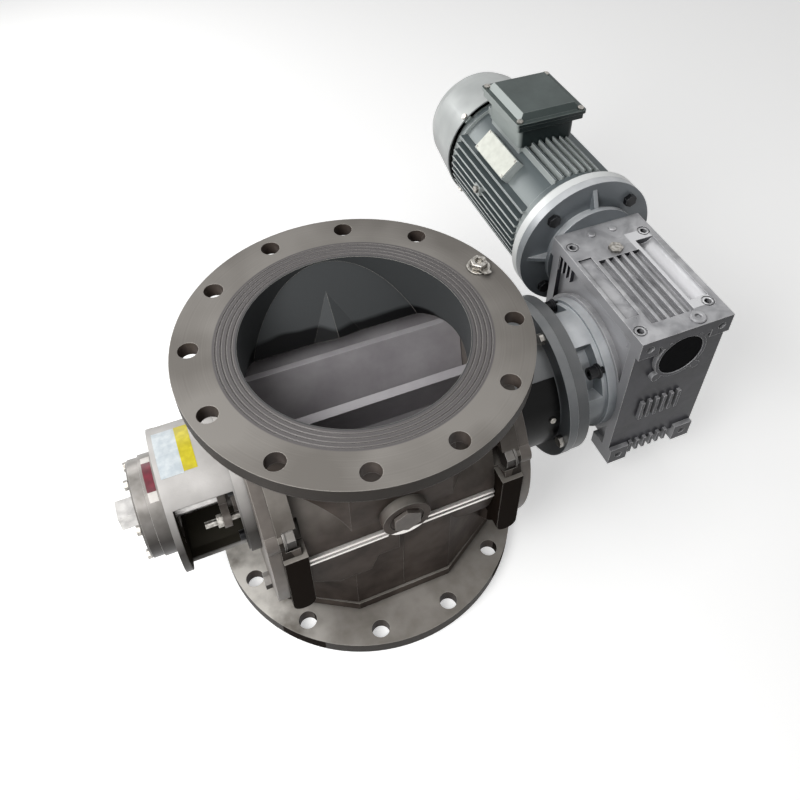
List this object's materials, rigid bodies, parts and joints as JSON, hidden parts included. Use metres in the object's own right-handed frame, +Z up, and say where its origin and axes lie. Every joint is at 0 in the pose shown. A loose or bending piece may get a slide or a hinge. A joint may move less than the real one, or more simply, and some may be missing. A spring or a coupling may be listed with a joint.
{
  "type": "rotary airlock valve",
  "caption": "Rotary valve with round bolted flanges: a vaned rotor in a cast body, shaft lanterns on both sides, and a worm gearbox with a finned motor that turns it.",
  "frame": {"origin": "centre of the outlet flange's lower face", "axes": "+Z up along the flanges' axis, from the outlet to the inlet; +X along the rotor's shaft, towards the gearbox; +Y along the worm's and motor's axis, towards the motor"},
  "size_m": [0.765, 0.6645, 0.4065],
  "materials": {
    "body_casting": "satin",
    "end_cover_free": "satin",
    "end_cover_drive": "satin",
    "end_cover_bolts": "zinc plated",
    "packing_rings": "graphited rope",
    "gland_followers": "turned",
    "gland_studs": "zinc plated",
    "lantern_free": "silver paint",
    "lantern_drive": "silver paint",
    "lantern_screws": "black oxide",
    "bearing_housing_free": "silver paint",
    "bearing_cap_free": "silver paint",
    "bearing_cover_drive": "turned",
    "bearing_screws": "zinc plated",
    "bearing_outer_rings": "ground",
    "bearing_inner_rings": "ground",
    "bearing_balls": "polished",
    "window_guards": "gloss black",
    "window_guard_screws": "zinc plated",
    "port_plugs": "dull",
    "rotor_vanes": "ground",
    "rotor_shaft": "turned",
    "drive_key": "ground",
    "hollow_output_shaft": "turned",
    "worm_wheel": "bronze",
    "wheel_bearing_outer_rings": "ground",
    "wheel_bearing_inner_rings": "ground",
    "worm_shaft": "ground",
    "worm_bearing_outer_rings": "ground",
    "worm_bearing_inner_rings": "ground",
    "worm_cap": "moulded",
    "gearbox_housing": "die cast",
    "gearbox_side_cover": "die cast",
    "gearbox_oil_seals": "moulded",
    "oil_plugs": "zinc plated",
    "output_flange": "blue-grey paint",
    "output_flange_bolts": "black oxide",
    "drive_flange_bolts": "zinc plated",
    "input_flange": "grey paint",
    "motor_bolts": "zinc plated",
    "motor_end_shield": "machined rim",
    "motor_frame": "green-grey paint",
    "motor_earth_screw": "zinc plated",
    "nameplate": "satin",
    "stator_core": "laminated",
    "stator_windings": "enamelled copper",
    "motor_rotor": "cast",
    "motor_shaft": "ground",
    "motor_key": "ground",
    "motor_bearing_outer_rings": "ground",
    "motor_bearing_inner_rings": "ground",
    "motor_rear_shield": "cast",
    "cooling_fan": "moulded",
    "fan_cowl": "pale grey paint",
    "fan_cowl_screws": "zinc plated",
    "terminal_box": "green-grey paint",
    "terminal_gasket": "sheet",
    "terminal_block": "moulded",
    "terminal_box_lid": "green-grey paint",
    "terminal_lid_screws": "zinc plated"
  },
  "bodies": {
    "housing": {"body_casting": "body_casting", "end_cover_free": "end_cover_free", "end_cover_drive": "end_cover_drive", "end_cover_bolts": "end_cover_bolts", "packing_rings": "packing_rings", "gland_followers": "gland_followers", "gland_studs": "gland_studs", "lantern_free": "lantern_free", "lantern_drive": "lantern_drive", "lantern_screws": "lantern_screws", "bearing_housing_free": "bearing_housing_free", "bearing_cap_free": "bearing_cap_free", "bearing_cover_drive": "bearing_cover_drive", "bearing_screws": "bearing_screws", "bearing_outer_rings": "bearing_outer_rings", "bearing_balls": "bearing_balls", "window_guards": "window_guards", "window_guard_screws": "window_guard_screws", "port_plugs": "port_plugs", "wheel_bearing_outer_rings": "wheel_bearing_outer_rings", "worm_bearing_outer_rings": "worm_bearing_outer_rings", "worm_cap": "worm_cap", "gearbox_housing": "gearbox_housing", "gearbox_side_cover": "gearbox_side_cover", "gearbox_oil_seals": "gearbox_oil_seals", "oil_plugs": "oil_plugs", "output_flange": "output_flange", "output_flange_bolts": "output_flange_bolts", "drive_flange_bolts": "drive_flange_bolts", "input_flange": "input_flange", "motor_bolts": "motor_bolts", "motor_end_shield": "motor_end_shield", "motor_frame": "motor_frame", "motor_earth_screw": "motor_earth_screw", "nameplate": "nameplate", "stator_core": "stator_core", "stator_windings": "stator_windings", "motor_bearing_outer_rings": "motor_bearing_outer_rings", "motor_rear_shield": "motor_rear_shield", "fan_cowl": "fan_cowl", "fan_cowl_screws": "fan_cowl_screws", "terminal_box": "terminal_box", "terminal_gasket": "terminal_gasket", "terminal_block": "terminal_block", "terminal_box_lid": "terminal_box_lid", "terminal_lid_screws": "terminal_lid_screws"},
    "rotor": {"rotor_vanes": "rotor_vanes", "rotor_shaft": "rotor_shaft", "drive_key": "drive_key", "hollow_output_shaft": "hollow_output_shaft", "worm_wheel": "worm_wheel", "bearing_inner_rings": "bearing_inner_rings", "wheel_bearing_inner_rings": "wheel_bearing_inner_rings"},
    "motor_rotor_set": {"worm_shaft": "worm_shaft", "worm_bearing_inner_rings": "worm_bearing_inner_rings", "motor_rotor": "motor_rotor", "motor_shaft": "motor_shaft", "motor_key": "motor_key", "motor_bearing_inner_rings": "motor_bearing_inner_rings", "cooling_fan": "cooling_fan"}
  },
  "joints": [
    {"name": "rotor_spin", "type": "hinge", "parent": "housing", "child": "rotor", "pos_m": [0, 0, 0.18], "axis": [1, 0, 0], "continuous": true},
    {"name": "motor_spin", "type": "hinge", "parent": "housing", "child": "motor_rotor_set", "pos_m": [0.374, 0, 0.27], "axis": [0, 1, 0], "continuous": true}
  ],
  "couplings": [
    {"joint": "motor_spin", "follows": "rotor_spin", "ratio": 30}
  ]
}
